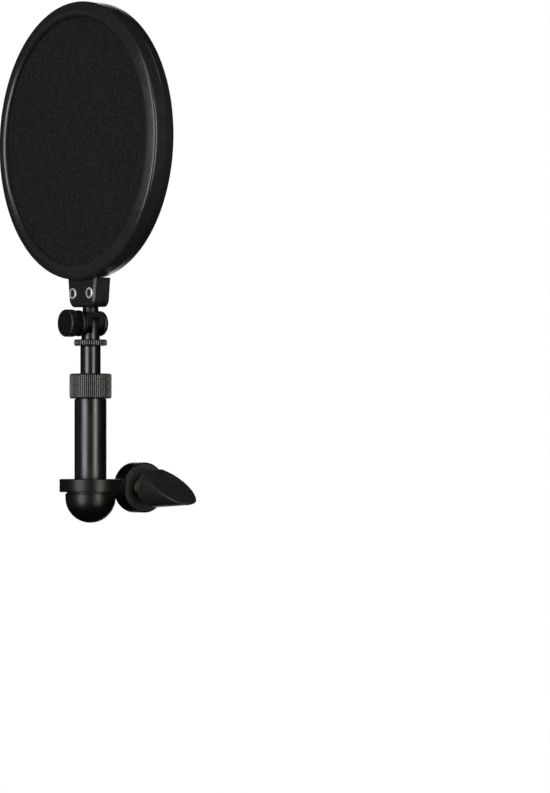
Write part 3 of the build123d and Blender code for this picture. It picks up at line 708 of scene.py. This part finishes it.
_, cap_radius, cap_front, cap_back = span("cap_nut", "Y")
CAP_TAPER, CAP_DROP, CAP_WALL, CAP_ROUND = 0.5 * MM, 0.8 * MM, 0.7 * MM, 0.6 * MM
cap_outline = rounded(
    [(0.0, cap_back), (cap_radius - CAP_TAPER, cap_back), (cap_radius, cap_back - CAP_DROP),
     (cap_radius, cap_front), (SCREW_CLEAR, cap_front), (SCREW_CLEAR, cap_back - CAP_WALL),
     (0.0, cap_back - CAP_WALL)],
    CAP_ROUND, 6,
)
fit(turned("hinge_cap", cap_outline, "Y", hinge), knob_plastic, "cap_nut")
print("tilt knob:", round(2 * knob_radius / MM, 1), "mm across,", TILT_RIBS, "ribs")

# %% [markdown]
# ## Block screws and nuts
#
# Two nickel plated cap screws pull the block's halves together over the rims' tangs.
# A hexagon is a circle whose radius follows the angle, so the same spin helper cuts
# the sockets and shapes the nuts. Each nut's corners are chamfered by the cone that
# the outline draws: the smaller of the two radii wins.

# %% Screws and nuts
SIXTH = math.tau / 6
SCREW_SPACING = 14.6 * MM
SHANK_RADIUS, HEAD_RADIUS, HEAD_HEIGHT, HEAD_BEVEL = 1.5 * MM, 2.8 * MM, 1.2 * MM, 0.3 * MM
SOCKET_CORNER, SOCKET_DEPTH, SOCKET_MOUTH, MOUTH_DEPTH = 1.5 * MM, 0.9 * MM, 1.9 * MM, 0.3 * MM
NUT_CORNER, NUT_BORE, NUT_CHAMFER = 3.15 * MM, 1.52 * MM, 0.35 * MM


def hexagon(turn, corner):
    """How far a hexagon of this corner radius reaches at this angle."""
    return corner * math.cos(SIXTH / 2) / math.cos(turn % SIXTH - SIXTH / 2)


def socket_cut(turn, radius, place):
    """Turns the head's small hole into a hexagon, and leaves the rest round."""
    return hexagon(turn, SOCKET_CORNER) if abs(radius - SOCKET_CORNER) < 1e-7 else radius


def nut_cut(turn, radius, place):
    """Trims whatever lies outside the nut's hexagon."""
    return min(radius, hexagon(turn, NUT_CORNER))


screw_low, screw_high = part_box("block_screws")
screw_height = (screw_low.z + screw_high.z) / 2
nut_low, nut_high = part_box("block_nuts")
head_front = screw_low.y
head_round = [
    (HEAD_RADIUS - HEAD_BEVEL * (1 - math.sin(a)), head_front + HEAD_BEVEL * (1 - math.cos(a)))
    for a in quarter[::6]
]
screw_outline = (
    [(0.0, head_front + SOCKET_DEPTH), (SOCKET_CORNER, head_front + SOCKET_DEPTH),
     (SOCKET_CORNER, head_front + MOUTH_DEPTH), (SOCKET_MOUTH, head_front)]
    + head_round
    + [(HEAD_RADIUS, head_front + HEAD_HEIGHT), (SHANK_RADIUS, head_front + HEAD_HEIGHT),
       (SHANK_RADIUS, screw_high.y), (0.0, screw_high.y)]
)
nut_outline = [
    (NUT_BORE, nut_low.y), (NUT_CORNER, nut_low.y), (NUT_CORNER, nut_high.y - NUT_CHAMFER),
    (NUT_CORNER - 2 * NUT_CHAMFER, nut_high.y), (NUT_BORE, nut_high.y),
]
screws, nuts = bmesh.new(), bmesh.new()
for side in (-1, 1):
    middle = Vector((post.x + side * SCREW_SPACING / 2, 0, screw_height))
    spin(screws, screw_outline, "Y", middle, 96, socket_cut)
    spin(nuts, nut_outline, "Y", middle, 96, nut_cut)
cap_screws = fit(made("cap_screws", screws), nickel, "block_screws")
# Painted shade: the inside of each hexagon socket gets the dark oxide finish instead of nickel, for
# the shade in the deep recess.
cap_screws.data.materials.append(oxide_steel)
WITHIN_MOUTH, ABOVE_FLOOR = 0.98 * SOCKET_MOUTH, head_front + 1.01 * SOCKET_DEPTH
for face in cap_screws.data.polygons:
    aside = abs(face.center.x - post.x) - SCREW_SPACING / 2
    from_axis = math.hypot(aside, face.center.z - screw_height)
    face.material_index = int(face.center.y < ABOVE_FLOOR and from_axis < WITHIN_MOUTH)
fit(made("hexagon_nuts", nuts), nickel, "block_nuts")
print("screws", round(SCREW_SPACING / MM, 1), "mm apart at height", round(screw_height / MM, 1))

# %% [markdown]
# ## The clamp
#
# The thumb knob is a solid plastic bar cut off at a slant: the slant is the face that
# a thumb presses to turn it. We turn the bar, slice it with one plane, close the
# slice, and round the new edge over. Its stud is an M8 screw with a plain stretch where
# the lug sits. The same cut that made the collar's thread winds one into the end of
# the stud that sits in the arm. The end that the knob runs on is left plain.

# %% Thumb knob, stud and washer
clamp_axis = Vector((0, 0, 0))
_, bar_radius, bar_start, bar_end = span("clamp_knob", "X")
CUT_START, CUT_SLOPE, KNOB_TURN = 7.8 * MM, math.radians(30.5), math.radians(8)
STUD_BORE, BASE_RADIUS, BASE_LENGTH, TIP_RADIUS = 3.62 * MM, 8.7 * MM, 2.2 * MM, 8.6 * MM
BASE_STEP, BORE_END, BAR_ROUND, FACE_ROUND = 0.8 * MM, 16.52 * MM, 1.4 * MM, 0.7 * MM
bar_outline = rounded(
    [(BASE_RADIUS, bar_start), (BASE_RADIUS, bar_start + BASE_LENGTH),
     (bar_radius, bar_start + BASE_LENGTH + BASE_STEP), (TIP_RADIUS, bar_end), (0.0, bar_end),
     (0.0, BORE_END), (STUD_BORE, BORE_END), (STUD_BORE, bar_start)],
    BAR_ROUND, 6,
)
bm = bmesh.new()
spin(bm, bar_outline, "X", clamp_axis, 160)
up_face = Vector((0, -math.sin(KNOB_TURN), math.cos(KNOB_TURN)))
cut_normal = Vector((math.sin(CUT_SLOPE), 0, 0)) + up_face * math.cos(CUT_SLOPE)
cut_point = Vector((CUT_START, 0, 0)) + up_face * bar_radius
sliced = bmesh.ops.bisect_plane(
    bm, geom=bm.verts[:] + bm.edges[:] + bm.faces[:],
    plane_co=cut_point, plane_no=cut_normal, clear_outer=True,
)
rim_edges = [e for e in sliced["geom_cut"] if isinstance(e, bmesh.types.BMEdge)]
bmesh.ops.edgeloop_fill(bm, edges=rim_edges)
bmesh.ops.bevel(
    bm, geom=rim_edges, offset=FACE_ROUND, segments=5, profile=0.5, affect="EDGES"
)
fit(made("thumb_knob", bm), thumb_plastic, "clamp_knob")

stud_low, stud_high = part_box("clamp_stud")
STUD_PITCH, STUD_DEPTH, THREAD_OUT = 1.25 * MM, 0.6 * MM, 3.9 * MM
SHANK_RADIUS_STUD, SHANK_END, SHANK_EDGE, NECK_EDGE = 4.0 * MM, 5.0 * MM, 0.05 * MM, 0.1 * MM
THREAD_START, THREAD_STOP = 0.3 * MM, -0.2 * MM
stud_outline = (
    [(0.0, stud_low.x), (THREAD_OUT - STUD_DEPTH, stud_low.x)]
    + even_steps(stud_low.x + STUD_DEPTH, 0.0, THREAD_OUT, STUD_PITCH / 10)
    + [(SHANK_RADIUS_STUD, SHANK_EDGE), (SHANK_RADIUS_STUD, SHANK_END - SHANK_EDGE)]
    + [(THREAD_OUT, SHANK_END), (STUD_BORE, SHANK_END + NECK_EDGE)]
    + [(STUD_BORE, stud_high.x), (0.0, stud_high.x)]
)
stud_thread = thread_cut(STUD_PITCH, STUD_DEPTH, stud_low.x + THREAD_START, THREAD_STOP)
stud = turned("clamp_stud_threaded", stud_outline, "X", clamp_axis, 96, stud_thread)
fit(stud, bare_steel, "clamp_stud")

_, loose_radius, loose_start, loose_end = span("clamp_washer", "X")
LOOSE_BORE, LOOSE_EDGE = 4.25 * MM, 0.3 * MM
loose_outline = rounded(
    [(LOOSE_BORE, loose_start), (loose_radius, loose_start),
     (loose_radius, loose_end), (LOOSE_BORE, loose_end)],
    LOOSE_EDGE,
)
fit(turned("loose_washer", loose_outline, "X", clamp_axis), oxide_steel, "clamp_washer")
print("thumb face slants at", round(math.degrees(CUT_SLOPE)), "degrees")

# %% [markdown]
# ## Pieces inside
#
# The pieces that stay inside, or show only when a joint moves, keep their CAD meshes.
# They still get a true finish: the toothed ring is black oxide steel, the inserts are
# brass, the collet and the bush nylon, and the hoops and friction washers black plastic.

# %% Finish the carried-over nodes
inside = {
    "hub_rosette": oxide_steel, "hub_insert": brass, "tube_plug": bare_steel, "collet": nylon,
    "tube_bush": nylon, "top_insert": brass, "friction_washers": knob_plastic,
    "tilt_screw": bare_steel, "front_hoop": knob_plastic, "back_hoop": knob_plastic,
}
for node, finish in inside.items():
    carried = frame["nodes"][node]
    carried.data.materials.clear()
    carried.data.materials.append(finish)
print("carried over:", ", ".join(inside))

# %% [markdown]
# ## Studio
#
# Black things are lit by what they mirror. Two tall softboxes draw the two upright
# stripes down each tube: a cool one almost in front of the screen and a warm one at
# its side. A weaker one on the far side lights what lies flat in the screen's plane,
# and a small one hangs above. The one behind lights the back, and draws a thin line
# down each far edge. Everything else stays dim, so the edges fall away to black. The
# floor is a plain pale sweep far enough below that nothing touches it, and it stays
# out of the mirrors.

# %% Lights
LIGHT_HEIGHT = 0.12


def softbox(name, azimuth, distance, width, height, power, colour, lift=0.0):
    """A tall area light that faces the post, at an angle measured from the screen's front."""
    light = bpy.data.lights.new(name, "AREA")
    light.shape, light.size, light.size_y = "RECTANGLE", width, height
    light.energy, light.color = power, colour
    lamp = bpy.data.objects.new(name, light)
    turn = math.radians(azimuth)
    aim = Vector((post.x, post.y, LIGHT_HEIGHT))
    way = Vector((math.sin(turn), -math.cos(turn), 0))
    lamp.location = aim + way * distance + Vector((0, 0, lift))
    lamp.rotation_mode = "QUATERNION"
    lamp.rotation_quaternion = (lamp.location - aim).to_track_quat("Z", "Y")
    bpy.context.scene.collection.objects.link(lamp)


COOL, WARM, WHITE = (0.93, 0.96, 1.0), (1.0, 0.94, 0.84), (1.0, 1.0, 1.0)
softbox("front softbox", 13, 1.5, 0.80, 1.8, 30, COOL)
softbox("side softbox", 91, 1.5, 0.50, 1.8, 21, WARM)
softbox("fill softbox", -54, 1.5, 0.90, 1.5, 0.35, WHITE)
softbox("top softbox", 50, 0.9, 1.0, 0.5, 3, WHITE, lift=1.1)
softbox("rear softbox", 226, 1.5, 0.60, 1.5, 5, WHITE)

# %% [markdown]
# The world is white where we look straight at it, as a studio's background is, and a
# dim grey for everything that only mirrors it, as if black flags stood at both sides.

# %% World and floor
FLOOR_DROP, FLOOR_SIZE = 0.5, 3.0
MIRRORED_LIGHT = 0.010

world = bpy.data.worlds.new("studio")
bpy.context.scene.world = world
world.use_nodes = True
nodes, links = world.node_tree.nodes, world.node_tree.links
background = nodes["Background"]
ray = nodes.new("ShaderNodeLightPath")
level = nodes.new("ShaderNodeMapRange")
level.inputs["To Min"].default_value, level.inputs["To Max"].default_value = MIRRORED_LIGHT, 1.0
links.new(ray.outputs["Is Camera Ray"], level.inputs["Value"])
links.new(level.outputs["Result"], background.inputs["Strength"])
background.inputs["Color"].default_value = (1, 1, 1, 1)

bm = bmesh.new()
bmesh.ops.create_circle(bm, cap_ends=True, segments=128, radius=FLOOR_SIZE)
floor = made("studio_floor", bm)
floor.location = (post.x, post.y, cad_low.z - FLOOR_DROP)
floor_paint = surface(
    "pale floor", [(0.86, 0.86, 0.85), (0.88, 0.88, 0.87)], 0.8, 8, 0.0001,
    Emission_Strength=0.8,
)
floor.data.materials.append(floor_paint)
floor.visible_glossy = False
floor.visible_diffuse = False
print("floor", round(FLOOR_DROP / MM), "mm below the model")

# %% [markdown]
# ## Camera
#
# The view is from the side of the screen's front, at the height of the clamp, through
# a long lens from two and a half metres. It looks very slightly up, and the post
# stands left of the middle of the frame.

# %% Camera
VIEW_AZIMUTH, VIEW_DISTANCE, EYE_HEIGHT = 55.7, 2.52, 0.019
LOOK_UP, LOOK_ASIDE = 0.613, 2.113
SENSOR, LENS = 36.0, 226.986

camera_data = bpy.data.cameras.new("camera")
camera_data.sensor_width = SENSOR
camera_data.lens = LENS
camera_data.clip_end = 50
camera = bpy.data.objects.new("camera", camera_data)
azimuth = math.radians(VIEW_AZIMUTH)
camera.location = (
    post.x + math.sin(azimuth) * VIEW_DISTANCE,
    post.y - math.cos(azimuth) * VIEW_DISTANCE,
    EYE_HEIGHT,
)
camera.rotation_euler = (
    math.radians(90 + LOOK_UP), 0, math.radians(VIEW_AZIMUTH - LOOK_ASIDE),
)
bpy.context.scene.collection.objects.link(camera)
bpy.context.scene.camera = camera
bpy.context.scene.view_settings.view_transform = "Standard"
print("lens:", round(LENS), "mm")
